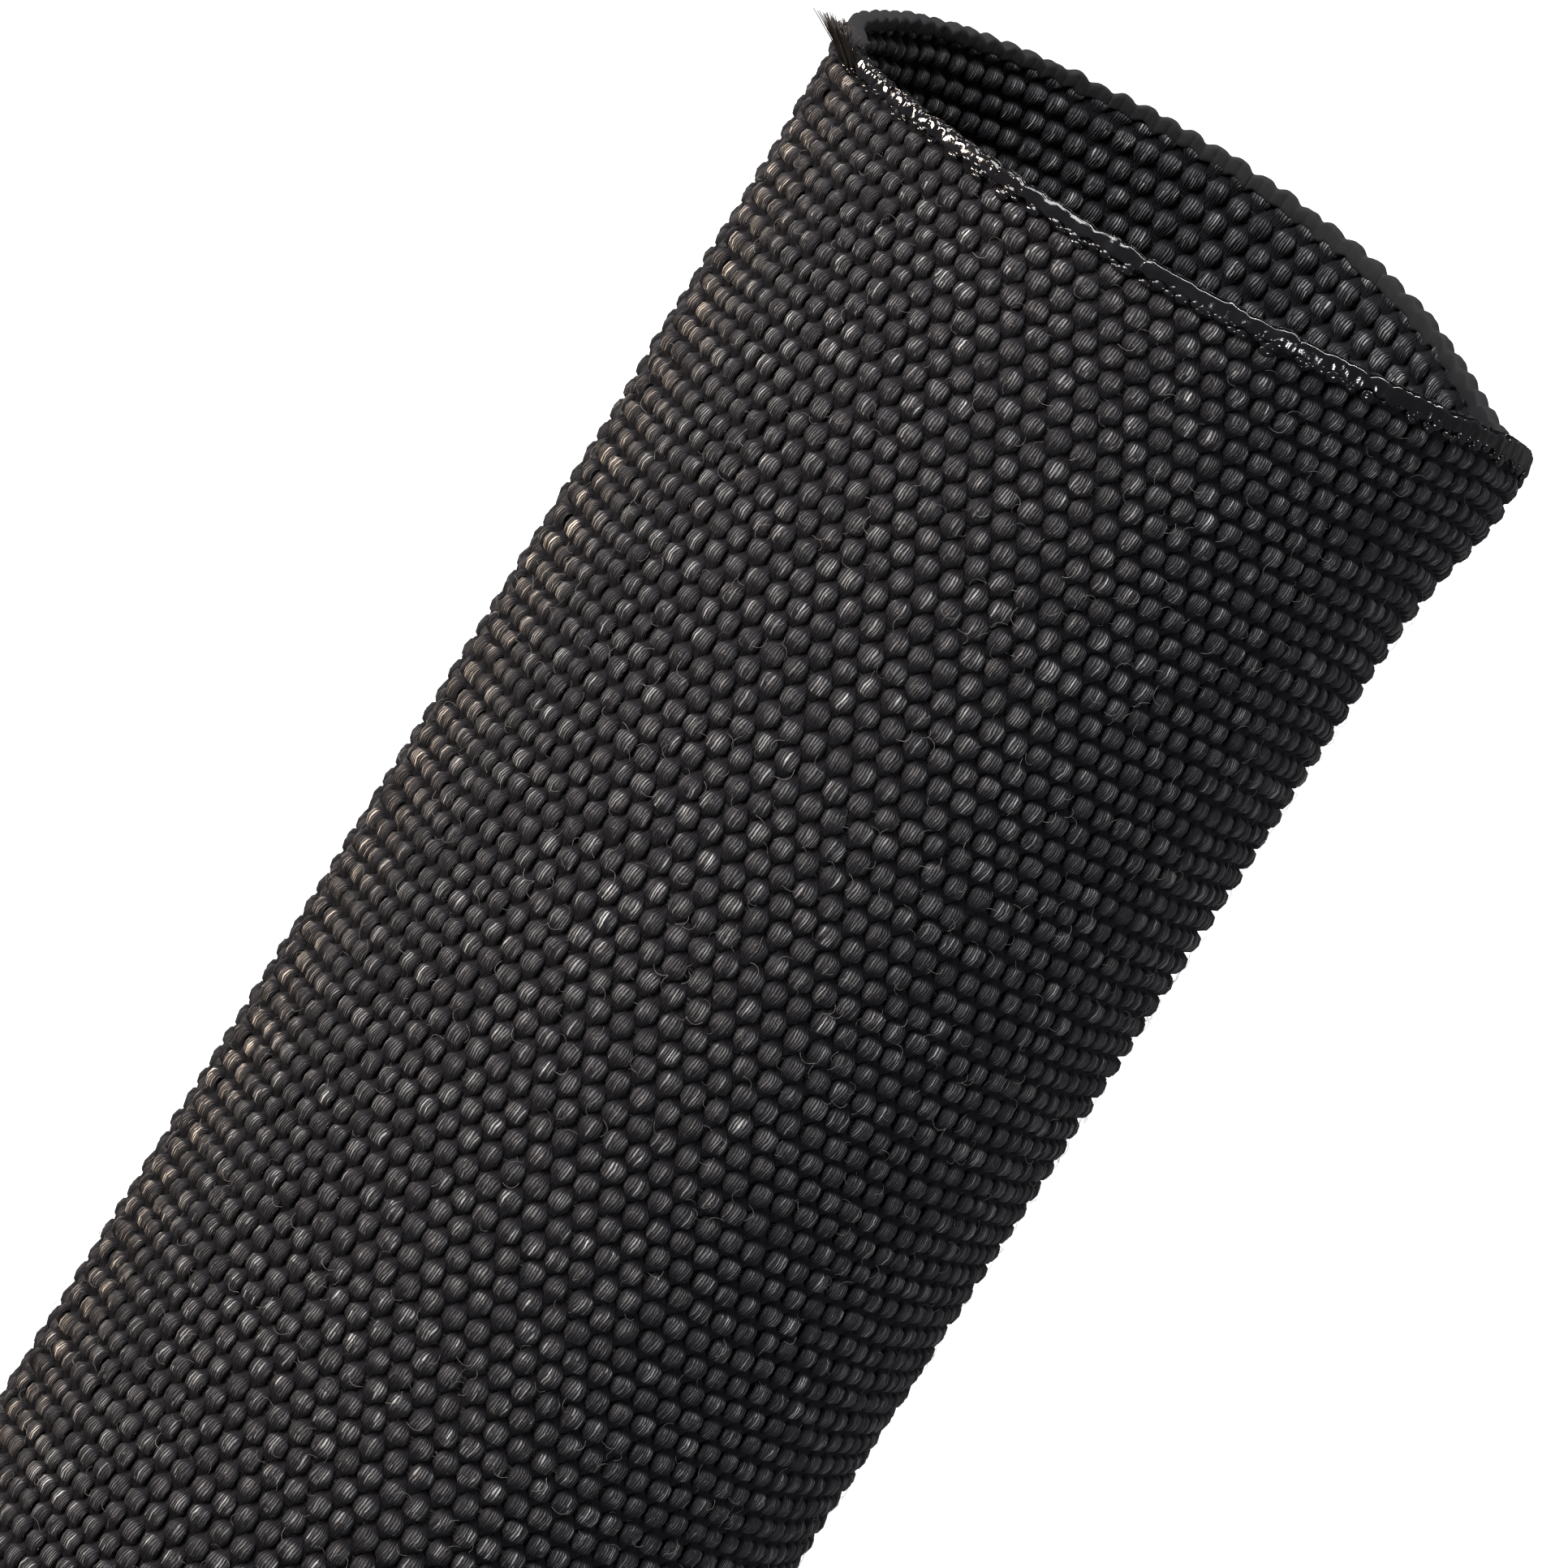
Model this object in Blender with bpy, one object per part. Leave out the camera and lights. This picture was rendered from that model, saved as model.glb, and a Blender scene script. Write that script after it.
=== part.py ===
"""Woven nylon hose sleeve: a cut length of black tubular ballistic-nylon fabric.

The sleeve lies along +Y with its open mouth at +Y, +Z up, on the ground at Z = 0.
Its wall is made of bands, and each band is a group of neighbouring warp yarns that
run the whole length. Seven bands make the upper ply and seven the lower one, from the
left fold (-X) to the right fold (+X). Each band has a melted bead at both cut ends.
The bands hinge on their inner edges, so that the round sleeve can be pressed flat.
The right fold is the pivot where the ring of bands is opened into a chain.
"""
import math

import bpy

# Driving sizes, in metres and radians.
BORE = 0.0381
WALL = 0.0014
LENGTH = 0.150
BANDS_PER_PLY = 7
FOLD_SLOPE = math.radians(75)
MOUTH_DROP_RIGHT = 0.0038
MOUTH_DROP_LEFT = 0.0007
BEAD_DIAMETER = 0.0014
TUFT_LENGTH = 0.0024
TUFT_DIAMETER = 0.0004

# Clearances.
EDGE_GAP = 0.0003
PLY_GAP = 0.0004
BEAD_GAP = 0.0003

# Sizes that follow from them.
HINGE_INSET = PLY_GAP / 2
WALL_OFFSET = HINGE_INSET + WALL / 2
BAND_WIDTH = math.pi * (BORE - PLY_GAP) / (2 * BANDS_PER_PLY)
BAND_TURN = 2 * FOLD_SLOPE / (BANDS_PER_PLY - 1)
MIDDLE_BAND = (BANDS_PER_PLY + 1) // 2
UPPER = 1
LOWER = -1
PLY_NAMES = {UPPER: "upper", LOWER: "lower"}

NYLON = ("woven_nylon", (0.016, 0.014, 0.018, 1.0), 0.75, 0.0)
MELTED = ("melted_nylon", (0.006, 0.006, 0.007, 1.0), 0.18, 0.0)
FRAYED = ("frayed_yarn", (0.012, 0.010, 0.012, 1.0), 0.85, 0.0)


def clear_scene():
    for scene_object in list(bpy.data.objects):
        bpy.data.objects.remove(scene_object, do_unlink=True)


def make_material(name, colour, roughness, metallic):
    material = bpy.data.materials.new(name)
    material.use_nodes = True
    shader = material.node_tree.nodes["Principled BSDF"]
    shader.inputs["Base Color"].default_value = colour
    shader.inputs["Roughness"].default_value = roughness
    shader.inputs["Metallic"].default_value = metallic
    return material


def band_slope(ply, band):
    """Slope of a band in the XZ plane, walking from the left fold to the right."""
    return ply * (MIDDLE_BAND - band) * BAND_TURN


def hinge_line(ply, index):
    """(x, z) of a ply's hinge line: 0 is the left fold, BANDS_PER_PLY the right one."""
    slopes = [band_slope(ply, band) for band in range(1, BANDS_PER_PLY + 1)]
    half_width = BAND_WIDTH * sum(math.cos(slope) for slope in slopes) / 2
    rise = BAND_WIDTH * sum(math.sin(abs(slope)) for slope in slopes) / 2
    x = -half_width + BAND_WIDTH * sum(math.cos(slope) for slope in slopes[:index])
    z = BAND_WIDTH * sum(math.sin(slope) for slope in slopes[:index])
    return x, z + rise + HINGE_INSET + WALL


def mouth_end(x):
    """Y of the cut mouth, which is drawn back towards the two folds."""
    fold_x = hinge_line(UPPER, BANDS_PER_PLY)[0]
    drop = MOUTH_DROP_RIGHT if x > 0 else MOUTH_DROP_LEFT
    return LENGTH / 2 - drop * (x / fold_x) ** 2


def body_name(ply, band):
    return f"{PLY_NAMES[ply]}_band_{band}"


def make_pivots(parts):
    """One empty on each body's hinge line, chained as the bands are."""
    pivots = {}

    def add_pivot(ply, band, line, parent):
        x, z = hinge_line(ply, line)
        pivot = bpy.data.objects.new(body_name(ply, band) + "_pivot", None)
        pivot.empty_display_size = WALL
        pivot.location = (x, 0, z)
        if parent:
            parent_x, parent_z = parent["hinge"]
            pivot.parent = parent["empty"]
            pivot.location = (x - parent_x, 0, z - parent_z)
        parts.objects.link(pivot)
        pivots[ply, band] = {"empty": pivot, "hinge": (x, z)}
        return pivots[ply, band]

    root = add_pivot(LOWER, MIDDLE_BAND, MIDDLE_BAND, None)
    parent = root
    for band in range(MIDDLE_BAND - 1, 0, -1):
        parent = add_pivot(LOWER, band, band, parent)
    for band in range(1, BANDS_PER_PLY + 1):
        parent = add_pivot(UPPER, band, band - 1, parent)
    parent = root
    for band in range(MIDDLE_BAND + 1, BANDS_PER_PLY + 1):
        parent = add_pivot(LOWER, band, band - 1, parent)
    return pivots


def place_on_band(piece, ply, band, pivot):
    """Put a piece drawn in the band's own plane at mid wall, under the band's pivot."""
    x, z = hinge_line(ply, band - 1)
    slope = band_slope(ply, band)
    offset = ply * WALL_OFFSET
    pivot_x, pivot_z = pivot["hinge"]
    piece.parent = pivot["empty"]
    piece.location = (x - offset * math.sin(slope) - pivot_x, 0,
                      z + offset * math.cos(slope) - pivot_z)
    piece.rotation_euler = (0, -slope, 0)


def new_curve(name, dimensions, points, cyclic):
    curve = bpy.data.curves.new(name, "CURVE")
    curve.dimensions = dimensions
    spline = curve.splines.new("POLY")
    spline.points.add(len(points) - 1)
    for spline_point, (x, y, z, radius) in zip(spline.points, points):
        spline_point.co = (x, y, z, 1)
        spline_point.radius = radius
    spline.use_cyclic_u = cyclic
    return curve


def band_edges(ply, band):
    """The band's two long edges: distance across the band, and Y of the mouth there."""
    x = hinge_line(ply, band - 1)[0]
    slope = band_slope(ply, band)
    edges = []
    for across in (EDGE_GAP / 2, BAND_WIDTH - EDGE_GAP / 2):
        edges.append((across, mouth_end(x + across * math.cos(slope))))
    return edges


def make_band(ply, band, pivot, material, parts):
    (left, left_mouth), (right, right_mouth) = band_edges(ply, band)
    end_margin = BEAD_DIAMETER + BEAD_GAP
    tail = -LENGTH / 2 + end_margin
    outline = [
        (left, tail, 0, 1),
        (right, tail, 0, 1),
        (right, right_mouth - end_margin, 0, 1),
        (left, left_mouth - end_margin, 0, 1),
    ]
    name = body_name(ply, band)
    curve = new_curve(name, "2D", outline, True)
    curve.fill_mode = "BOTH"
    curve.extrude = WALL / 2
    curve.materials.append(material)
    piece = bpy.data.objects.new(name, curve)
    parts.objects.link(piece)
    place_on_band(piece, ply, band, pivot)


def make_bead(name, ply, band, ends, pivot, material, parts):
    """A melted bead along one cut end of a band."""
    curve = new_curve(name, "3D", [(across, y, 0, 1) for across, y in ends], False)
    curve.bevel_depth = BEAD_DIAMETER / 2
    curve.bevel_resolution = 2
    curve.use_fill_caps = True
    curve.materials.append(material)
    piece = bpy.data.objects.new(name, curve)
    parts.objects.link(piece)
    place_on_band(piece, ply, band, pivot)


def make_beads(ply, band, pivot, material, parts):
    radius = BEAD_DIAMETER / 2
    edges = band_edges(ply, band)
    mouth = [(across, y - radius) for across, y in edges]
    tail = [(across, -LENGTH / 2 + radius) for across, _ in edges]
    label = f"{PLY_NAMES[ply]}_{band}"
    make_bead(f"mouth_bead_{label}", ply, band, mouth, pivot, material, parts)
    make_bead(f"tail_bead_{label}", ply, band, tail, pivot, material, parts)


def make_tuft(pivot, material, parts):
    """Frayed yarn ends at the mouth's left corner, in the open notch of the fold."""
    fold_x, fold_z = hinge_line(LOWER, 0)
    mouth = mouth_end(fold_x)
    reach = HINGE_INSET + WALL
    points = [
        (fold_x - 0.55 * reach, mouth - TUFT_LENGTH, fold_z, 1.0),
        (fold_x - 0.65 * reach, mouth - 0.6 * TUFT_LENGTH, fold_z, 1.0),
        (fold_x - 0.80 * reach, mouth - 0.2 * TUFT_LENGTH, fold_z, 0.8),
        (fold_x - 0.85 * reach, mouth, fold_z, 0.5),
    ]
    pivot_x, pivot_z = pivot["hinge"]
    local = [(x - pivot_x, y, z - pivot_z, radius) for x, y, z, radius in points]
    curve = new_curve("frayed_tuft", "3D", local, False)
    curve.bevel_depth = TUFT_DIAMETER / 2
    curve.bevel_resolution = 2
    curve.use_fill_caps = True
    curve.materials.append(material)
    piece = bpy.data.objects.new("frayed_tuft", curve)
    parts.objects.link(piece)
    piece.parent = pivot["empty"]


def main():
    clear_scene()
    parts = bpy.data.collections.new("woven_hose_sleeve")
    bpy.context.scene.collection.children.link(parts)
    nylon = make_material(*NYLON)
    melted = make_material(*MELTED)
    frayed = make_material(*FRAYED)
    pivots = make_pivots(parts)
    for (ply, band), pivot in pivots.items():
        make_band(ply, band, pivot, nylon, parts)
        make_beads(ply, band, pivot, melted, parts)
    make_tuft(pivots[LOWER, 1], frayed, parts)


main()
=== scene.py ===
"""Woven nylon hose sleeve: 168 warp yarns and their weft picks, melted lips, frayed tuft."""

import math
import random

import bpy
from mathutils import Matrix, Vector, noise


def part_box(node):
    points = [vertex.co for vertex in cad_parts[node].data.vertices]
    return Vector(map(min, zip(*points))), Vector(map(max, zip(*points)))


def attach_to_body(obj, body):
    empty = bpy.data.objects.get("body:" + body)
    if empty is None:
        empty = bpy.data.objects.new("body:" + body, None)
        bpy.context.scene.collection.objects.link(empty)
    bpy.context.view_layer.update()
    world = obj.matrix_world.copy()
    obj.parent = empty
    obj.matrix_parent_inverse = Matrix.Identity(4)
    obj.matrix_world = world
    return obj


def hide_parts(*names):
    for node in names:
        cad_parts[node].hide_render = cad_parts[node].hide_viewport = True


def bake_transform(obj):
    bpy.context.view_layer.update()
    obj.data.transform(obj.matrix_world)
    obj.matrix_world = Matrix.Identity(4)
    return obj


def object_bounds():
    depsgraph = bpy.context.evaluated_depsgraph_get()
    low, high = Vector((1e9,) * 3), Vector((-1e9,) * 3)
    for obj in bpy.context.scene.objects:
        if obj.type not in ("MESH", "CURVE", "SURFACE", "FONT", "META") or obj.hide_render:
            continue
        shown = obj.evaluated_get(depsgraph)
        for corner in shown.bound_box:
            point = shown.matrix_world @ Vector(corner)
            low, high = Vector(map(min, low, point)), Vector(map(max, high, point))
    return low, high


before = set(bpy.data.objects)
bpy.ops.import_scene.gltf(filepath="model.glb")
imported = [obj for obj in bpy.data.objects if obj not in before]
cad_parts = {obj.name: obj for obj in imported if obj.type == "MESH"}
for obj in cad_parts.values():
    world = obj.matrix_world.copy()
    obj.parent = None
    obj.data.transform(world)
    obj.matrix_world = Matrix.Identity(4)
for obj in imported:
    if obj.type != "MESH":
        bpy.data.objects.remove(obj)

CAD_LOW, CAD_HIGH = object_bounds()

# Sizes of the sleeve, in metres and radians.
LENGTH = CAD_HIGH.y - CAD_LOW.y
CENTRE_HEIGHT = (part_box("upper_band_1")[0].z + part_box("lower_band_1")[1].z) / 2
HINGE_RADIUS = 0.01954
MID_RADIUS = 0.0202
PLY_SHIFT = 0.000852
HALF_PLY = math.radians(87.5)
ENDS_PER_BAND = 12
BANDS = 7
PLY_ENDS = ENDS_PER_BAND * BANDS
END_TURN = math.radians(25.0 / ENDS_PER_BAND)
END_PITCH = MID_RADIUS * END_TURN
PICK = 0.0014
PICKS = 105
RINGS_PER_PICK = 5
YARN_SIDES = 8
FLOAT_TOP = 0.95
MOUTH_Y = LENGTH / 2
LIP_LENGTH = 0.0012

# How the cloth lies near the mouth and at its folds: a drop lets the cut run back from the
# mouth, a flare or swell opens the tube, and each crease is a place, a reach and a height, the
# first two counted in warp ends from the left fold.
DROP_RIGHT = 0.0051
DROP_LEFT = 0.0010
LOWER_SHARE = 0.86
UPPER_CUT = 0.0012
CUT_SLANT = 0.0012
CUT_FADE = 0.008
DROP_FADE = 0.067
FLARE_ALL = 0.0003
FLARE_RIGHT = 0.0012
FLARE_FADE = 0.0068
FLARE_PEAK = 0.0032
SWELL = 0.00045
SWELL_LENGTH = 0.065
CREASE_RIDGE = (-2.8, 1.5, 0.00060)
CREASE_DIP = (-5.4, 1.3, -0.00030)
CREASE_BULGE = (-10.0, 4.0, 0.00040)
RIGHT_CREASE = (84.0, 1.6, 0.00020)
GROUND_EASE = 0.0003

# The melted lips.
LIP_SQUARENESS = 0.42
LIP_SETBACK = 0.00055
LIP_HALF_LENGTH = 0.00060
LIP_HALF_THICKNESS = 0.00070
LIP_INNER_TRIM = 0.00095
CELL_GROOVE = 0.00026
LOWER_LIP_LENGTH = 0.85
LOWER_LIP_SCALLOP = 0.00015
LOWER_LIP_THICKNESS = 0.70
LIP_STEPS = 22
LIP_COLUMNS = 8
DROPS_PER_END = 2
LOWER_LIP_DULL = 1.8

# Loose filaments.
LOOP_RADIUS = 0.000014
LOOP_HEIGHT = 0.00070
TUFT_FILAMENTS = 150
TUFT_RADIUS = 0.000045
TUFT_STEPS = 6

# Colours, as linear red, green, blue and alpha.
NYLON_DARK = (0.0110, 0.0098, 0.0135, 1.0)
# A painted highlight on the filaments.
NYLON_PAINTED_GLINT = (0.780, 0.770, 0.775, 1.0)
# A painted warm highlight along the left fold.
NYLON_FOLD_GLINT = (0.820, 0.700, 0.600, 1.0)
MELTED_DARK = (0.0075, 0.0070, 0.0088, 1.0)
MELTED_SMOKY = (0.0130, 0.0124, 0.0142, 1.0)
FRAYED_DARK = (0.004, 0.0035, 0.004, 1.0)
FRAYED_BROWN = (0.035, 0.025, 0.020, 1.0)
LOOSE_DARK = (0.03, 0.03, 0.031, 1.0)
# A painted highlight on the black loose filaments.
LOOSE_PAINTED_GLINT = (0.42, 0.40, 0.37, 1.0)
FLOOR_SHADES = ((0.93, 0.93, 0.93, 1.0), (0.96, 0.96, 0.96, 1.0))
WHITE = (1.0, 1.0, 1.0)
WARM = (1.0, 0.84, 0.68)
COOL = (0.95, 0.97, 1.0)

# Filaments in the yarn's finish, and where a painted warm highlight lies along the left fold, in
# warp ends.
FILAMENTS_ROUND = 24.0
FILAMENT_TWIST = 0.7
FILAMENT_CURL = 1.5
FILAMENT_RELIEF = 0.00009
FOLD_GLINT_END = -1.5
FOLD_GLINT_REACH = 4.5


class Flow:
    """One output of a node, written into sums as if it were a number."""

    def __init__(self, tree, socket):
        self.tree = tree
        self.socket = socket

    def out(self, name):
        """Another output of the same node."""
        return Flow(self.tree, self.socket.node.outputs[name])

    def __add__(self, other):
        return calc("ADD", self, other)

    def __sub__(self, other):
        return calc("SUBTRACT", self, other)

    def __rsub__(self, other):
        return calc("SUBTRACT", other, self)

    def __mul__(self, other):
        return calc("MULTIPLY", self, other)

    def __truediv__(self, other):
        return calc("DIVIDE", self, other)

    def __rtruediv__(self, other):
        return calc("DIVIDE", other, self)

    def __pow__(self, other):
        return calc("POWER", self, other)

    def __neg__(self):
        return calc("MULTIPLY", self, -1.0)

    def __abs__(self):
        return calc("ABSOLUTE", self)

    __radd__ = __add__
    __rmul__ = __mul__


def add(tree, kind, settings=None, sockets=None, output=0):
    """Adds one node: its settings first, then the values or links of its sockets."""
    node = tree.nodes.new(kind)
    for name, value in (settings or {}).items():
        setattr(node, name, value)
    for key, value in (sockets or {}).items():
        socket = node.inputs[key]
        for item in value if isinstance(value, list) else [value]:
            if isinstance(item, Flow):
                tree.links.new(item.socket, socket)
            else:
                socket.default_value = item
    return Flow(tree, node.outputs[output]) if len(node.outputs) else node


def calc(operation, *values):
    """One Math node on flows and numbers."""
    tree = next(value.tree for value in values if isinstance(value, Flow))
    return add(tree, "ShaderNodeMath", {"operation": operation}, dict(enumerate(values)))


def clamp(value):
    return calc("MAXIMUM", calc("MINIMUM", value, 1.0), 0.0)


def vector(tree, x, y, z):
    return add(tree, "ShaderNodeCombineXYZ", None, {0: x, 1: y, 2: z})


def parts_of(flow):
    """A vector's three parts."""
    split = add(flow.tree, "ShaderNodeSeparateXYZ", None, {0: flow})
    return split, split.out("Y"), split.out("Z")


def cloud(place, scale, detail=1.0):
    """Smooth noise from 0 to 1."""
    sockets = {"Vector": place, "Scale": scale, "Detail": detail, "Roughness": 0.5}
    return add(place.tree, "ShaderNodeTexNoise", None, sockets)


def chance(tree, x, y, seed):
    """Three numbers from -1 to 1 that stay the same over one float of one yarn."""
    dice = add(tree, "ShaderNodeTexWhiteNoise", None, {"Vector": vector(tree, x, y, seed)})
    return [part * 2.0 - 1.0 for part in parts_of(dice.out("Color"))]


def round_the_bore(tree, geometry):
    """Bends flat cloth (x round the tube from the left fold, y along, z outwards) into shape."""
    x, y, lift = parts_of(add(tree, "GeometryNodeInputPosition"))
    turn = abs(x / END_PITCH)
    angle = HALF_PLY - turn * END_TURN
    across = -calc("SINE", angle)
    right = calc("GREATER_THAN", across, 0.0)
    square = across * across

    crease = 0.0
    for place, turns in ((CREASE_RIDGE, x / END_PITCH), (CREASE_DIP, x / END_PITCH),
                         (CREASE_BULGE, x / END_PITCH), (RIGHT_CREASE, turn)):
        away = (turns - place[0]) / place[1]
        crease = calc("EXPONENT", -(away * away)) * place[2] + crease
    from_mouth = calc("MAXIMUM", MOUTH_Y - y, 0.0)
    flare = calc("EXPONENT", from_mouth * (-1.0 / FLARE_FADE))
    away = (from_mouth - FLARE_PEAK) / FLARE_FADE
    peak = calc("EXPONENT", -(away * away) * 2.0)
    flare = flare * FLARE_ALL + peak * right * square * FLARE_RIGHT
    flare = flare + clamp(1.0 - from_mouth / SWELL_LENGTH) * SWELL
    radius = lift + MID_RADIUS + crease + flare

    curve = square * 0.45 + abs(across) ** 10.0 * 0.55
    lower = calc("LESS_THAN", x, 0.0)
    share = 1.0 - lower * right * (1.0 - LOWER_SHARE)
    drop = curve * share * (right * (DROP_RIGHT - DROP_LEFT) + DROP_LEFT)
    drop = drop * clamp(1.0 - from_mouth / DROP_FADE)
    cut = calc("MAXIMUM", calc("SIGN", x), 0.0) * calc("COSINE", angle) * UPPER_CUT
    cut = cut - across * CUT_SLANT
    drop = drop + cut * calc("EXPONENT", from_mouth * (-1.0 / CUT_FADE))

    height = calc("SIGN", x) * (radius * calc("COSINE", angle) - PLY_SHIFT) + CENTRE_HEIGHT
    height = (height + (height * height + GROUND_EASE**2) ** 0.5) * 0.5
    place = vector(tree, radius * across, y - drop, height)
    return add(tree, "GeometryNodeSetPosition", None, {"Geometry": geometry, "Position": place})


def new_tree(name, inputs):
    """A geometry tree with named inputs; returns the tree, the inputs' flows and ids."""
    tree = bpy.data.node_groups.new(name, "GeometryNodeTree")
    tree.interface.new_socket("Geometry", in_out="OUTPUT", socket_type="NodeSocketGeometry")
    identifiers = {}
    for label, kind, value in inputs:
        socket = tree.interface.new_socket(label, in_out="INPUT", socket_type=kind)
        if value is not None:
            socket.default_value = value
        identifiers[label] = socket.identifier
    entry = tree.nodes.new("NodeGroupInput")
    flows = {label: Flow(tree, entry.outputs[label]) for label in identifiers}
    return tree, flows, identifiers


def close_tree(tree, geometry, material, where=True):
    """Every tree ends with plain, smooth, finished geometry."""
    geometry = add(tree, "GeometryNodeRealizeInstances", None, {"Geometry": geometry})
    geometry = add(tree, "GeometryNodeSetShadeSmooth", None, {"Geometry": geometry})
    sockets = {"Geometry": geometry, "Selection": where, "Material": material}
    geometry = add(tree, "GeometryNodeSetMaterial", None, sockets)
    add(tree, "NodeGroupOutput", None, {0: geometry})


def store(tree, geometry, name, kind, domain, value):
    settings = {"data_type": kind, "domain": domain}
    sockets = {"Geometry": geometry, "Name": name, "Value": value}
    return add(tree, "GeometryNodeStoreNamedAttribute", settings, sockets)


def stored(tree, name, kind):
    settings = {"data_type": kind}
    return add(tree, "GeometryNodeInputNamedAttribute", settings, {"Name": name})


def row_of_rods(tree, sides, rings, length, count, start, step):
    """Closed rods side by side, each carrying its own section, wrap and row number."""
    rod = add(
        tree,
        "GeometryNodeMeshCylinder",
        {"fill_type": "NGON"},
        {"Vertices": sides, "Side Segments": rings, "Radius": 1.0, "Depth": length},
        "Mesh",
    )
    wrap = rod.out("UV Map")
    shape = store(tree, rod, "section", "FLOAT_VECTOR", "POINT",
                  add(tree, "GeometryNodeInputPosition"))
    shape = store(tree, shape, "wrap", "FLOAT_VECTOR", "CORNER", wrap)
    line = add(
        tree,
        "GeometryNodeMeshLine",
        {"mode": "OFFSET", "count_mode": "TOTAL"},
        {"Count": count, "Start Location": (0.0, 0.0, 0.0), "Offset": (0.0, 0.0, 0.0)},
    )
    number = add(tree, "GeometryNodeInputIndex") * step + start
    line = store(tree, line, "number", "FLOAT", "POINT", number)
    rods = add(tree, "GeometryNodeInstanceOnPoints", None, {"Points": line, "Instance": shape})
    return add(tree, "GeometryNodeRealizeInstances", None, {"Geometry": rods})


def loose_loops(tree, given):
    """Fine filaments that have worked loose and lie curled over the outer crowns."""
    width = given["Ends"] * END_PITCH
    sheet = add(tree, "GeometryNodeMeshGrid", None, {
        "Size X": width, "Size Y": LENGTH - 4 * LIP_LENGTH, "Vertices X": 2, "Vertices Y": 2,
    })
    spots = add(
        tree,
        "GeometryNodeDistributePointsOnFaces",
        {"distribute_method": "RANDOM"},
        {"Mesh": sheet, "Density": given["Loose loops"], "Seed": given["Seed"]},
    )
    arc = add(
        tree,
        "GeometryNodeCurveQuadraticBezier",
        None,
        {"Resolution": 5, "Start": (-0.0006, 0.0, -0.00010), "Middle": (0.0, 0.0007, 0.00028),
         "End": (0.0006, -0.0001, -0.00010)},
    )
    section = add(tree, "GeometryNodeCurvePrimitiveCircle", None,
                  {"Resolution": 3, "Radius": LOOP_RADIUS})
    thread = add(tree, "GeometryNodeCurveToMesh", None,
                 {"Curve": arc, "Profile Curve": section, "Fill Caps": True})
    turn = add(tree, "FunctionNodeRandomValue", {"data_type": "FLOAT_VECTOR"},
               {0: (-0.3, -0.3, 0.0), 1: (0.3, 0.3, 2 * math.pi), "Seed": given["Seed"] + 1})
    size = add(tree, "FunctionNodeRandomValue", {"data_type": "FLOAT"},
               {2: 0.25, 3: 0.90, "Seed": given["Seed"] + 2}, 1)
    loops = add(tree, "GeometryNodeInstanceOnPoints", None,
                {"Points": spots, "Instance": thread, "Rotation": turn, "Scale": size})
    loops = add(tree, "GeometryNodeRealizeInstances", None, {"Geometry": loops})
    middle = (given["First end"] + given["Ends"] / 2) * END_PITCH
    loops = add(tree, "GeometryNodeSetPosition", None,
                {"Geometry": loops, "Offset": vector(tree, middle, 0.0, LOOP_HEIGHT)})
    loops = store(tree, loops, "loose", "FLOAT", "POINT", 1.0)
    sockets = {"Geometry": loops, "Material": given["Loose filament"]}
    return add(tree, "GeometryNodeSetMaterial", None, sockets)


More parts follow.
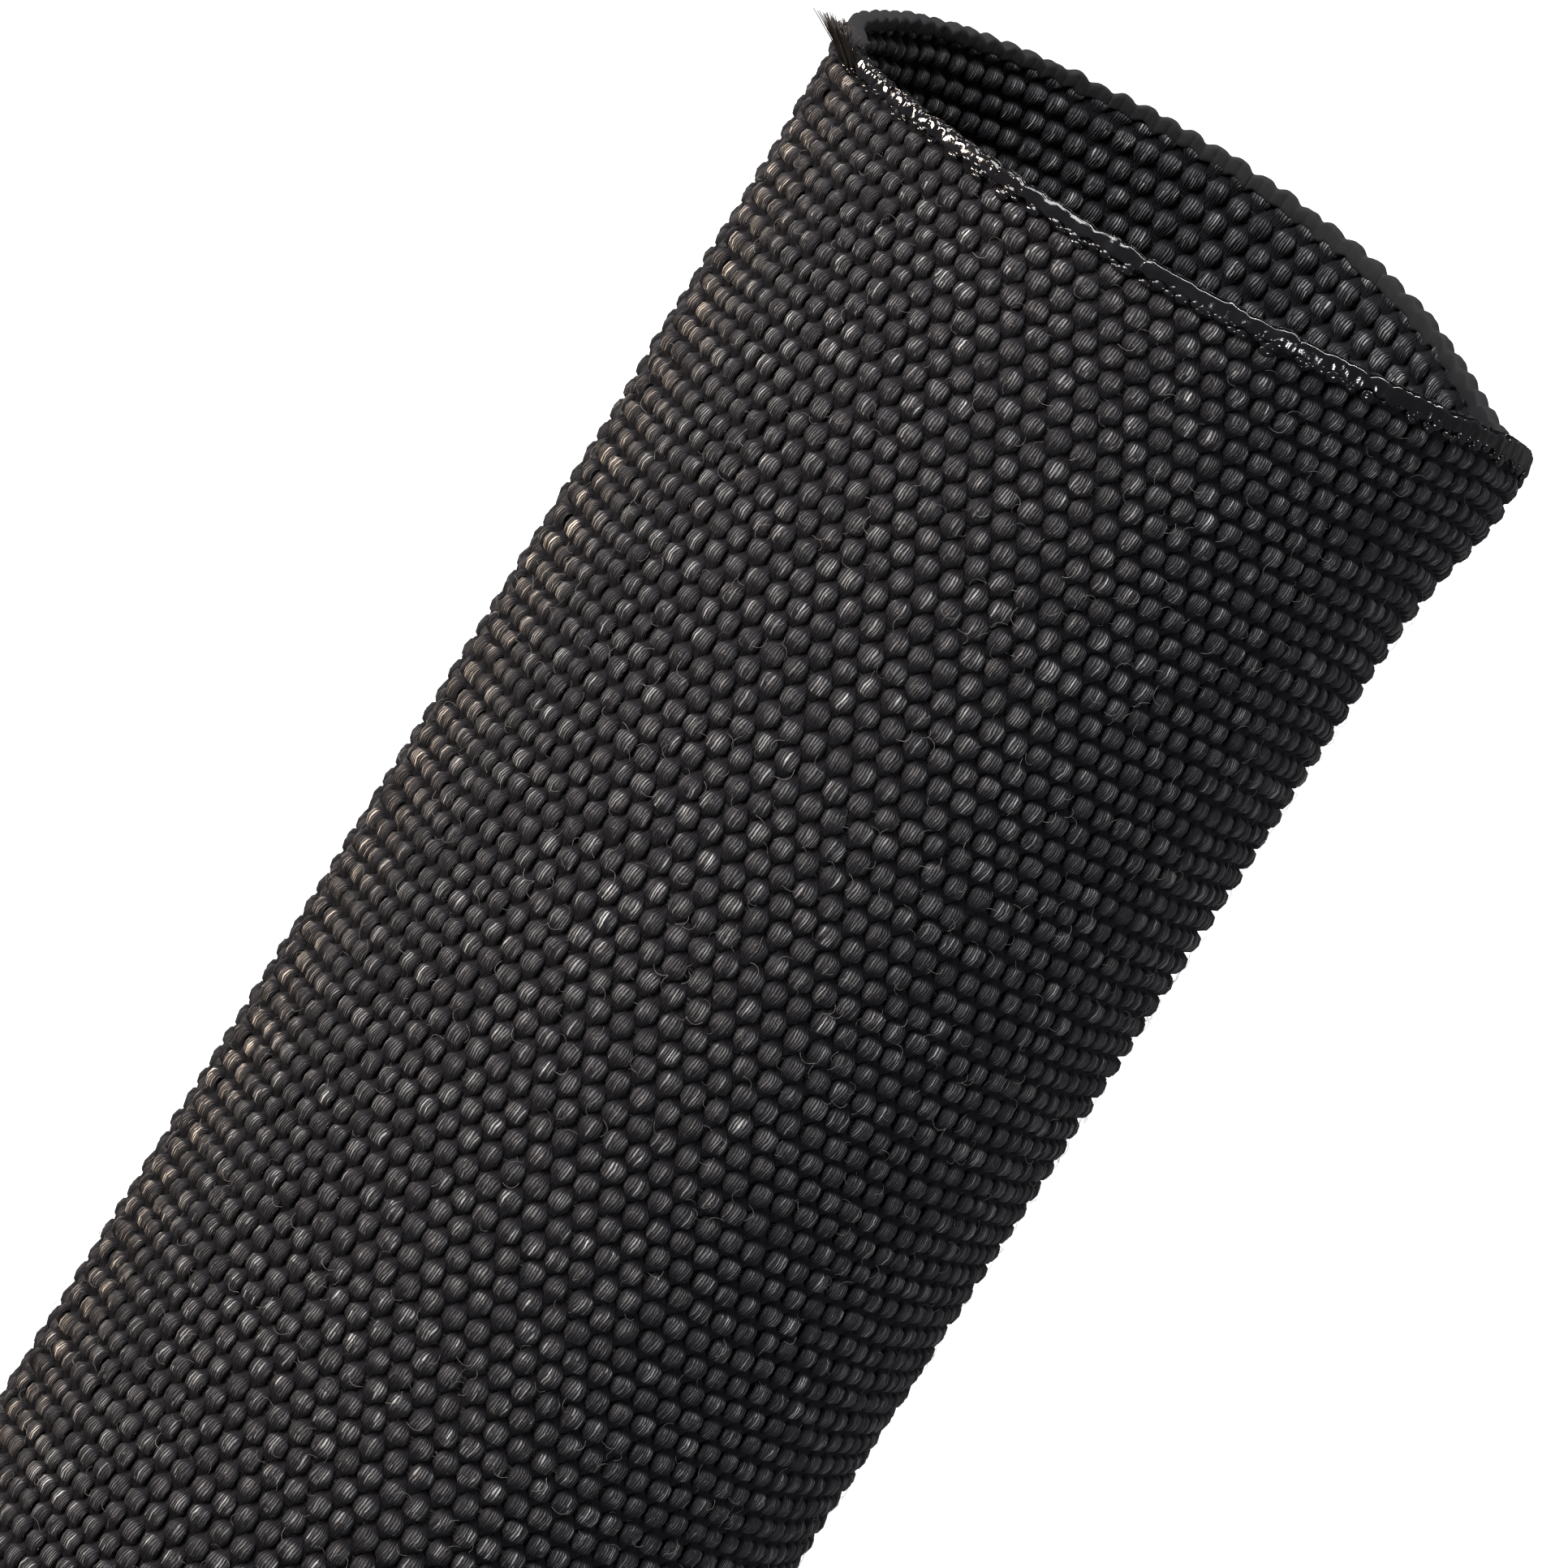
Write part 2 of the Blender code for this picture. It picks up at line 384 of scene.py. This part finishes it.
def woven_tree():
    """Warp yarns that go over and under the picks, and the weft between them."""
    tree, given, identifiers = new_tree("woven_wall", [
        ("First end", "NodeSocketInt", 0),
        ("Ends", "NodeSocketInt", ENDS_PER_BAND),
        ("Picks", "NodeSocketInt", PICKS),
        ("Pick length", "NodeSocketFloat", PICK),
        ("Wave height", "NodeSocketFloat", 0.00047),
        ("Float start", "NodeSocketFloat", 0.24),
        ("Yarn half thickness", "NodeSocketFloat", 0.00025),
        ("Yarn half width", "NodeSocketFloat", 0.00066),
        ("Crossing half width", "NodeSocketFloat", 0.00042),
        ("Weft half width", "NodeSocketFloat", 0.00064),
        ("Weft half thickness", "NodeSocketFloat", 0.00013),
        ("Loose loops", "NodeSocketFloat", 3.0e5),
        ("Seed", "NodeSocketInt", 7),
        ("Yarn", "NodeSocketMaterial", None),
        ("Loose filament", "NodeSocketMaterial", None),
    ])
    pick = given["Pick length"]
    warp_length = (PICKS + 1) * PICK

    warp = row_of_rods(tree, YARN_SIDES, (PICKS + 1) * RINGS_PER_PICK, warp_length,
                       given["Ends"], given["First end"], 1.0)
    across, up, along = parts_of(stored(tree, "section", "FLOAT_VECTOR"))
    across = calc("SIGN", across) * abs(across) ** 0.85
    up = calc("SIGN", up) * abs(up) ** 0.8
    end = stored(tree, "number", "FLOAT")
    row = along / pick
    nearest = calc("FLOOR", row + 0.5)
    waver, plump, stray = chance(tree, end, nearest, given["Seed"])
    phase = (row + end) * math.pi
    swing = calc("COSINE", phase)
    rise = clamp((abs(swing) - given["Float start"]) / (FLOAT_TOP - given["Float start"]))
    crown = rise * rise * (3.0 - rise * 2.0)
    wave = calc("SIGN", swing) * crown
    calm = clamp((warp_length / 2 - abs(along)) / 0.0009) * 0.6 + 0.4
    height = given["Wave height"] * calm
    steep = rise * (1.0 - rise) * 6.0 / (FLOAT_TOP - given["Float start"])
    slope = calc("SINE", phase) * steep * height * (-math.pi) / pick
    level = 1.0 / (slope * slope + 1.0) ** 0.5
    thick = given["Yarn half thickness"] * up
    narrow = given["Crossing half width"]
    spread = crown**0.5 * (plump * 0.18 + 1.0)
    wide = narrow + (given["Yarn half width"] - narrow) * spread
    middle = (end + 0.5) * END_PITCH + stray * crown * 0.00007
    wander = cloud(vector(tree, middle, along, 0.0), 140.0) - 0.5
    flat = vector(
        tree,
        middle + across * wide,
        along - thick * slope * level + waver * crown * 0.00010 + wander * 0.0007,
        wave * height * (waver * 0.12 + 1.0) + thick * level,
    )
    warp = add(tree, "GeometryNodeSetPosition", None, {"Geometry": warp, "Position": flat})
    twist = parts_of(stored(tree, "wrap", "FLOAT_VECTOR"))[0]
    warp = store(tree, warp, "strand", "FLOAT_VECTOR", "CORNER",
                 vector(tree, twist, along * 1000.0, end))
    warp = store(tree, warp, "crown", "FLOAT", "POINT",
                 wave * (0.5 - across * across * 0.22) + 0.5)

    weft = row_of_rods(tree, 6, given["Ends"], 1.0, given["Picks"], -(PICKS // 2), 1.0)
    aside, out, reach = parts_of(stored(tree, "section", "FLOAT_VECTOR"))
    order = stored(tree, "number", "FLOAT")
    place = given["First end"] + given["Ends"] * (reach + 0.5)
    bow = calc("COSINE", (place + order - 0.5) * math.pi) * -0.00006
    flat = vector(
        tree,
        place * END_PITCH,
        order * pick + aside * given["Weft half width"],
        out * given["Weft half thickness"] + bow,
    )
    weft = add(tree, "GeometryNodeSetPosition", None, {"Geometry": weft, "Position": flat})
    weft = store(tree, weft, "strand", "FLOAT_VECTOR", "CORNER",
                 vector(tree, aside, place, order))
    loops = loose_loops(tree, given)
    cloth = add(tree, "GeometryNodeJoinGeometry", None, {0: [warp, weft, loops]})
    woven = calc("LESS_THAN", stored(tree, "loose", "FLOAT"), 0.5)
    close_tree(tree, round_the_bore(tree, cloth), given["Yarn"], woven)
    return tree, identifiers


def rounding_tree():
    """Rounds any flat piece as the cloth is rounded."""
    tree, given, identifiers = new_tree("rounded_piece", [
        ("Flat piece", "NodeSocketGeometry", None),
        ("Finish", "NodeSocketMaterial", None),
    ])
    close_tree(tree, round_the_bore(tree, given["Flat piece"]), given["Finish"])
    return tree, identifiers


def new_material(name):
    material = bpy.data.materials.new(name)
    material.use_nodes = True
    tree = material.node_tree
    tree.nodes.clear()
    return material, tree


def finish_material(tree, plain, varying):
    """A Principled shader: steady numbers on its own sockets, the rest linked."""
    shader = add(tree, "ShaderNodeBsdfPrincipled", None, {**plain, **varying})
    add(tree, "ShaderNodeOutputMaterial", None, {"Surface": shader})


def blend_shades(factor, low, high):
    sockets = {"Factor": factor, 6: low, 7: high}
    return add(factor.tree, "ShaderNodeMix", {"data_type": "RGBA"}, sockets, 2)


def bump(height, strength, distance):
    sockets = {"Height": height, "Strength": strength, "Distance": distance}
    return add(height.tree, "ShaderNodeBump", None, sockets)


def filament_material():
    """Bulked black nylon: fine filaments, with a painted highlight on the proud crowns, painted
    shade in the crossings between them, and a painted warm highlight by the left fold.
    """
    material, tree = new_material("bulked_nylon")
    strand = add(tree, "ShaderNodeAttribute", {"attribute_name": "strand"}, None, "Vector")
    wrap, along, end = parts_of(strand)
    crown = add(tree, "ShaderNodeAttribute", {"attribute_name": "crown"}, None, "Fac")
    curl = cloud(vector(tree, wrap * 8.0, along * 1.5, end * 3.7), 1.0, 1.0) - 0.5
    bundle = wrap * FILAMENTS_ROUND + along * FILAMENT_TWIST + curl * FILAMENT_CURL
    ridge = abs(calc("SINE", bundle * math.pi))
    dice = vector(tree, calc("FLOOR", bundle), end, calc("FLOOR", along * FILAMENT_TWIST))
    pick_out = add(tree, "ShaderNodeTexWhiteNoise", None, {"Vector": dice})
    loops = cloud(vector(tree, wrap * 30.0, along * 3.4, end * 5.1), 1.0, 2.0)
    # Only the proud crowns take the painted highlight, so the crossings between them stay dark as
    # painted shade.
    proud = clamp(abs(crown * 2.0 - 1.0) * 1.8 - 0.72)
    clump = cloud(vector(tree, wrap * 11.0 + curl, along * 1.1, end * 4.3), 1.0, 1.0)
    clump = clamp(clump * 4.0 - 1.6)
    float_order = calc("ROUND", along / (PICK * 1000.0))
    bright = add(tree, "ShaderNodeTexWhiteNoise", None,
                 {"Vector": vector(tree, end, float_order, 3.0)})
    # glint paints the filaments' highlights into the base colour.
    glint = ridge * ridge * (pick_out * pick_out * 0.85 + 0.15) * (clump * 0.8 + 0.2) * proud
    glint = glint * (loops * 1.6 + 0.1) * (bright * 0.6 + 0.7)
    # A painted warm highlight on the ends by the left fold.
    away = (end - FOLD_GLINT_END) / FOLD_GLINT_REACH
    fold_glint = calc("EXPONENT", -(away * away))
    # Painted shade on the column of ends just beyond the left crease.
    shaded = clamp((-3.5 - end) * 0.4) * clamp((end + 16.0) * 0.4)
    glint = clamp(glint * 1.1) ** 1.35 * (fold_glint * 1.0 + 1.0) * (1.0 - shaded * 0.7)
    # The painted highlight's colour, warmer by the left fold.
    pale = blend_shades(fold_glint, NYLON_PAINTED_GLINT, NYLON_FOLD_GLINT)
    shade = blend_shades(glint, NYLON_DARK, pale)
    height = ridge * (pick_out * 0.6 + 0.4) + loops * 0.8 + clump * 0.9
    relief = bump(height, 1.0, FILAMENT_RELIEF)
    finish_material(
        tree,
        {"IOR": 1.5, "Specular IOR Level": 0.35},
        {"Base Color": shade, "Roughness": 0.95 - proud * (ridge * 0.15 + 0.42),
         "Normal": relief},
    )
    return material


def melted_material():
    """Nylon that has melted and set: glossy and nearly black, with faint waves."""
    material, tree = new_material("melted_nylon")
    place = add(tree, "ShaderNodeTexCoord", None, None, "Object")
    waves = cloud(place, 900.0, 1.0)
    specks = cloud(place, 4200.0, 2.0)
    smoke = clamp((waves - 0.45) * 3.0)
    dull = add(tree, "ShaderNodeAttribute", {"attribute_name": "dull"}, None, "Fac")
    shade = blend_shades(smoke, MELTED_DARK, MELTED_SMOKY)
    relief = bump(waves + specks * 0.25, 0.45, 0.00014)
    finish_material(
        tree,
        {"IOR": 1.53},
        {"Base Color": shade, "Roughness": 0.09 + smoke * 0.10 + dull * 0.42, "Normal": relief},
    )
    return material


def frayed_material(name, low, high):
    """Loose filaments, varying from place to place: browned for the frayed tuft, and for the
    loose loops paler as a painted highlight on black nylon.
    """
    material, tree = new_material(name)
    place = add(tree, "ShaderNodeTexCoord", None, None, "Object")
    # For the frayed tuft this mask is real browning; for the loose loops it paints highlights.
    scorch_and_glint = cloud(place, 1500.0, 1.0)
    shade = blend_shades(scorch_and_glint, low, high)
    finish_material(
        tree,
        {"IOR": 1.5},
        {"Base Color": shade, "Roughness": 0.35 + scorch_and_glint * 0.2},
    )
    return material


def settle(flat, name, tree, values):
    """Runs a tree on a mesh and keeps the result as a plain mesh object."""
    maker = bpy.data.objects.new(name + "_maker", flat)
    bpy.context.scene.collection.objects.link(maker)
    modifier = maker.modifiers.new("make", "NODES")
    modifier.node_group = tree
    for identifier, value in values.items():
        modifier[identifier] = value
    shaped = maker.evaluated_get(bpy.context.evaluated_depsgraph_get())
    mesh = bpy.data.meshes.new_from_object(shaped)
    maker.modifiers.remove(modifier)
    bpy.data.objects.remove(maker)
    mesh.name = name
    piece = bpy.data.objects.new(name, mesh)
    bpy.context.scene.collection.objects.link(piece)
    return piece


def ring_point(turn, radius=HINGE_RADIUS):
    """A point on the rest section, this many ends from the left fold."""
    angle = HALF_PLY - abs(turn) * END_TURN
    side = 1.0 if turn > 0 else -1.0
    height = CENTRE_HEIGHT + side * (radius * math.cos(angle) - PLY_SHIFT)
    return Vector((-radius * math.sin(angle), 0.0, height))


def stretches():
    """Each stretch of cloth: its name, first end, number of ends, and how it moves."""
    half = ENDS_PER_BAND // 2
    fold = ring_point(0.001)
    reach = Vector((0.0, 0.0, 0.0012))
    yield ("left_fold", -half, ENDS_PER_BAND, ("lower_band_1", "upper_band_1"),
           (fold - reach, fold + reach))
    for ply, side in (("upper", 1), ("lower", -1)):
        for band in range(1, BANDS):
            low = ENDS_PER_BAND * band - half
            high = low + ENDS_PER_BAND
            first = low if side > 0 else -high
            bodies = (f"{ply}_band_{band}", f"{ply}_band_{band + 1}")
            yield (f"{ply}_{band}_{band + 1}", first, ENDS_PER_BAND, bodies,
                   (ring_point(side * low), ring_point(side * high)))
        first = PLY_ENDS - half if side > 0 else -PLY_ENDS
        yield f"{ply}_right_edge", first, half, (f"{ply}_band_{BANDS}",), None


def attach(piece, bodies, zone):
    """Rides a piece on its one body, or, for a piece between two bodies, bakes its transform into
    the mesh.
    """
    if zone is None:
        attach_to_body(piece, bodies[0])
    else:
        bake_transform(piece)


def ripple(x, y, seed):
    return noise.noise(Vector((x, y, seed)))


def lip_section(x, step, steps, seed, cells):
    """One point of the melted lip's section: how far back from the cut, and how far out."""
    ends = x / END_PITCH
    angle = 2 * math.pi * step / steps
    back, out = math.cos(angle), math.sin(angle)
    back = math.copysign(abs(back) ** LIP_SQUARENESS, back)
    out = math.copysign(abs(out) ** LIP_SQUARENESS, out)
    rim = 0.00016 * ripple(ends * 0.45, 0.0, seed) + 0.00010 * ripple(ends * 1.2, 1.0, seed)
    rim -= 0.00010 * abs(math.cos(math.pi * ends / 2)) ** 8
    skirt = 0.00036 * ripple(ends * 0.9, 2.0, seed) + 0.00012 * ripple(ends * 2.3, 3.0, seed)
    y = -LIP_SETBACK + LIP_HALF_LENGTH * back
    y += rim if back > 0 else skirt * -back
    groove = abs(math.cos(math.pi * ends)) ** 14
    t = LIP_HALF_THICKNESS * out - cells * CELL_GROOVE * groove * out
    t += 0.00006 * ripple(ends * 1.1, angle * 1.3, seed + 4.0)
    if ends < -1.5:
        scallop = LOWER_LIP_SCALLOP * abs(math.cos(math.pi * ends / 2)) ** 3
        return y * LOWER_LIP_LENGTH - scallop, t * LOWER_LIP_THICKNESS
    if out < 0:
        t += LIP_INNER_TRIM * (back + 1.0) / 2
    elif back < 0.2:
        t += 0.00014 * max(0.0, ripple(ends * 1.5, 6.0, seed) + 0.15)
    return y, t


def add_drop(points, faces, centre, length, width, height):
    """Adds one flattened, closed bead of melted nylon."""
    around, base = 9, len(points)
    levels = ((-0.5, 0.8), (0.0, 1.0), (0.45, 0.86), (0.82, 0.5))
    for level, share in levels:
        for step in range(around):
            angle = 2 * math.pi * step / around
            points.append((centre[0] + width * share * math.cos(angle),
                           centre[1] + length * share * math.sin(angle),
                           centre[2] + height * level))
    points.append((centre[0], centre[1], centre[2] + height))
    for level in range(len(levels) - 1):
        for step in range(around):
            low = base + level * around
            after = (step + 1) % around
            faces.append([low + step, low + after, low + around + after, low + around + step])
    top = base + (len(levels) - 1) * around
    for step in range(around):
        faces.append([top + step, top + (step + 1) % around, base + len(levels) * around])
    faces.append([base + step for step in range(around)][::-1])


def flat_lip(name, first, ends, side, seed):
    """A closed strip of melted lip, laid flat; side is 1 at the mouth and -1 at the tail."""
    steps = LIP_STEPS
    columns = ends * LIP_COLUMNS
    points, faces = [], []
    for column in range(columns + 1):
        x = (first + column / LIP_COLUMNS) * END_PITCH
        turn = x / END_PITCH
        cells = max(0.0, 1.0 - abs(turn - 5.0) / 12.0) if turn > 0 else 0.25
        for step in range(steps):
            y, t = lip_section(x, step, steps, seed, cells)
            points.append((x, side * (MOUTH_Y + y), t))
    for column in range(columns):
        for step in range(steps):
            near = column * steps + step
            over = column * steps + (step + 1) % steps
            face = [near, over, over + steps, near + steps]
            faces.append(face if side > 0 else face[::-1])
    caps = [list(range(steps)), [columns * steps + step for step in range(steps)]]
    faces.append(caps[0][::-side])
    faces.append(caps[1][::side])
    dice = random.Random(int(1000 + seed * 97 + first))
    for _ in range(ends * DROPS_PER_END):
        size = dice.uniform(0.8, 2.3)
        turn = first + dice.uniform(0.4, ends - 0.4)
        if turn < 12.0:
            size *= 0.5
        centre = (turn * END_PITCH,
                  side * (MOUTH_Y - dice.gauss(0.00122, 0.00016)),
                  dice.uniform(0.00060, 0.00072))
        add_drop(points, faces, centre, 0.00015 * size * dice.uniform(0.7, 1.2),
                 0.00020 * size, 0.00008 * size)
    mesh = bpy.data.meshes.new(name)
    mesh.from_pydata(points, [], faces)
    mesh.update()
    dull = mesh.attributes.new("dull", "FLOAT", "POINT")
    for point, value in zip(points, dull.data):
        turn = point[0] / END_PITCH
        value.value = LOWER_LIP_DULL if turn < -1 else min(1.0, max(0.0, (turn - 64.0) / 10.0))
    return mesh


def add_tube(points, faces, path, radius, sides=4):
    """Adds one closed, tapering filament along a path."""
    base = len(points)
    for order, here in enumerate(path):
        ahead = path[min(order + 1, len(path) - 1)] - path[max(order - 1, 0)]
        frame_turn = ahead.to_track_quat("Z", "X")
        width = radius * (1.0 - 0.5 * order / (len(path) - 1))
        for side in range(sides):
            angle = 2 * math.pi * side / sides
            offset = Vector((math.cos(angle), math.sin(angle), 0.0)) * width
            points.append(tuple(here + frame_turn @ offset))
    for order in range(len(path) - 1):
        for side in range(sides):
            low = base + order * sides
            after = (side + 1) % sides
            faces.append([low + side, low + after, low + sides + after, low + sides + side])
    last = base + (len(path) - 1) * sides
    faces.append([base + side for side in range(sides)][::-1])
    faces.append([last + side for side in range(sides)])


def flat_tuft(name):
    """Frayed filaments at the mouth's left corner, in a tight brush."""
    points, faces = [], []
    for number in range(TUFT_FILAMENTS):
        spread = ripple(number * 1.37, 0.0, 11.0) * 2.0
        sway = ripple(number * 1.91, 5.0, 12.0) * 2.0
        rise = ripple(number * 2.23, 9.0, 13.0)
        start = Vector((-0.0004 + 0.0006 * spread, MOUTH_Y - 0.0012, 0.0006 + 0.0003 * sway))
        reach = 0.0018 + 0.0006 * rise
        path = []
        for step in range(TUFT_STEPS + 1):
            part = step / TUFT_STEPS
            path.append(start + Vector((
                -0.0003 * part + 0.0002 * spread * part * part,
                reach * part,
                0.0015 * part + 0.0007 * sway * part * part,
            )))
        add_tube(points, faces, path, TUFT_RADIUS)
    mesh = bpy.data.meshes.new(name)
    mesh.from_pydata(points, [], faces)
    mesh.update()
    return mesh


# The pieces.
YARN = filament_material()
MELTED = melted_material()
FRAYED = frayed_material("frayed_nylon", FRAYED_DARK, FRAYED_BROWN)
LOOSE = frayed_material("loose_filament", LOOSE_DARK, LOOSE_PAINTED_GLINT)
WEAVE, WEAVE_IDS = woven_tree()
ROUNDED, ROUNDED_IDS = rounding_tree()

for label, first, ends, bodies, zone in stretches():
    settings = {
        WEAVE_IDS["First end"]: first,
        WEAVE_IDS["Ends"]: ends,
        WEAVE_IDS["Yarn"]: YARN,
        WEAVE_IDS["Loose filament"]: LOOSE,
    }
    empty = bpy.data.meshes.new("empty")
    wall = settle(empty, "woven_wall_" + label, WEAVE, settings)
    attach(wall, bodies, zone)
    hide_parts(*bodies)

    for place, side, seed in (("mouth", 1, 3.0), ("tail", -1, 31.0)):
        name = f"{place}_lip_{label}"
        flat = flat_lip(name, first, ends, side, seed)
        lip = settle(flat, name, ROUNDED, {ROUNDED_IDS["Finish"]: MELTED})
        attach(lip, bodies, zone)
        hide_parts(*(f"{place}_bead_" + body.replace("band_", "") for body in bodies))

tuft = settle(flat_tuft("frayed_brush"), "frayed_brush", ROUNDED, {ROUNDED_IDS["Finish"]: FRAYED})
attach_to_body(tuft, "lower_band_1")
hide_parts("frayed_tuft")


# The studio: the camera looks down on the sleeve, a little from the mouth and from the left.
TILT = math.radians(9.5)
ROLL = math.radians(22.5)
CAMERA_TURN = math.radians(57.75)
CAMERA_REACH = 1.0
CAMERA_WIDTH = 0.0842
AIM_BEHIND_MOUTH = 0.0390
AIM_LEFT = 0.00265
FLOOR_HALF = 3.0
TO_CAMERA = Vector((
    -math.sin(ROLL) * math.cos(TILT),
    math.sin(TILT),
    math.cos(ROLL) * math.cos(TILT),
))
TO_RIGHT = Vector((math.cos(ROLL), 0.0, math.sin(ROLL)))
TO_MOUTH = TO_CAMERA.cross(TO_RIGHT)


def make_camera():
    """A long lens, turned so that the sleeve runs from lower left to upper right."""
    aim = Vector((0.0, MOUTH_Y - AIM_BEHIND_MOUTH, CENTRE_HEIGHT)) - TO_RIGHT * AIM_LEFT
    up = TO_MOUTH * math.sin(CAMERA_TURN) - TO_RIGHT * math.cos(CAMERA_TURN)
    right = up.cross(TO_CAMERA)
    data = bpy.data.cameras.new("camera")
    data.sensor_width = 36.0
    data.lens = data.sensor_width * CAMERA_REACH / CAMERA_WIDTH
    data.clip_start, data.clip_end = 0.05, 20.0
    camera = bpy.data.objects.new("camera", data)
    bpy.context.scene.collection.objects.link(camera)
    axes = Matrix((right, up, TO_CAMERA)).transposed().to_4x4()
    camera.matrix_world = Matrix.Translation(aim + TO_CAMERA * CAMERA_REACH) @ axes
    bpy.context.scene.camera = camera


def make_light(name, direction, reach, size, power, colour):
    """A soft box that faces the sleeve."""
    data = bpy.data.lights.new(name, "AREA")
    data.shape = "RECTANGLE"
    data.size, data.size_y = size
    data.energy = power
    data.color = colour
    light = bpy.data.objects.new(name, data)
    bpy.context.scene.collection.objects.link(light)
    light.location = direction.normalized() * reach + Vector((0.0, 0.0, CENTRE_HEIGHT))
    light.rotation_mode = "QUATERNION"
    light.rotation_quaternion = direction.to_track_quat("Z", "Y")
    return light


def make_studio():
    """Four soft boxes, a pale surround and a pale floor that the sleeve lies on."""
    make_light("mouth", TO_MOUTH * 1.0 + TO_CAMERA * 0.1, 0.5, (0.8, 0.05), 5.0, WHITE)
    make_light("key", TO_CAMERA * 0.7 + TO_MOUTH * 0.6 - TO_RIGHT * 0.5, 0.6, (0.35, 0.25),
               4.2, WHITE)
    make_light("rim", TO_CAMERA * 0.12 - TO_RIGHT * 1.0 + TO_MOUTH * 0.1, 0.5, (0.05, 0.4),
               9.0, WARM)
    make_light("fill", TO_CAMERA * 0.8 + TO_RIGHT * 0.9 - TO_MOUTH * 0.3, 0.7, (0.16, 0.10),
               1.5, COOL)
    world = bpy.data.worlds.new("studio")
    world.use_nodes = True
    backdrop = world.node_tree.nodes["Background"]
    backdrop.inputs["Color"].default_value = (0.98, 0.98, 1.0, 1.0)
    backdrop.inputs["Strength"].default_value = 0.12
    bpy.context.scene.world = world
    bpy.context.scene.view_settings.view_transform = "Standard"

    floor_mesh = bpy.data.meshes.new("floor")
    half = FLOOR_HALF
    floor_mesh.from_pydata(
        [(-half, -half, 0), (half, -half, 0), (half, half, 0), (-half, half, 0)],
        [], [(0, 1, 2, 3)],
    )
    material, tree = new_material("pale_floor")
    place = add(tree, "ShaderNodeTexCoord", None, None, "Object")
    mottle = cloud(place, 3.0)
    shade = blend_shades(mottle, *FLOOR_SHADES)
    finish_material(
        tree,
        {"Roughness": 0.9, "Specular IOR Level": 0.0,
         "Emission Color": (1.0, 1.0, 1.0, 1.0), "Emission Strength": 0.8},
        {"Base Color": shade},
    )
    floor_mesh.materials.append(material)
    floor = bpy.data.objects.new("floor", floor_mesh)
    bpy.context.scene.collection.objects.link(floor)
    floor.visible_diffuse = False
    floor.visible_glossy = False


make_camera()
make_studio()
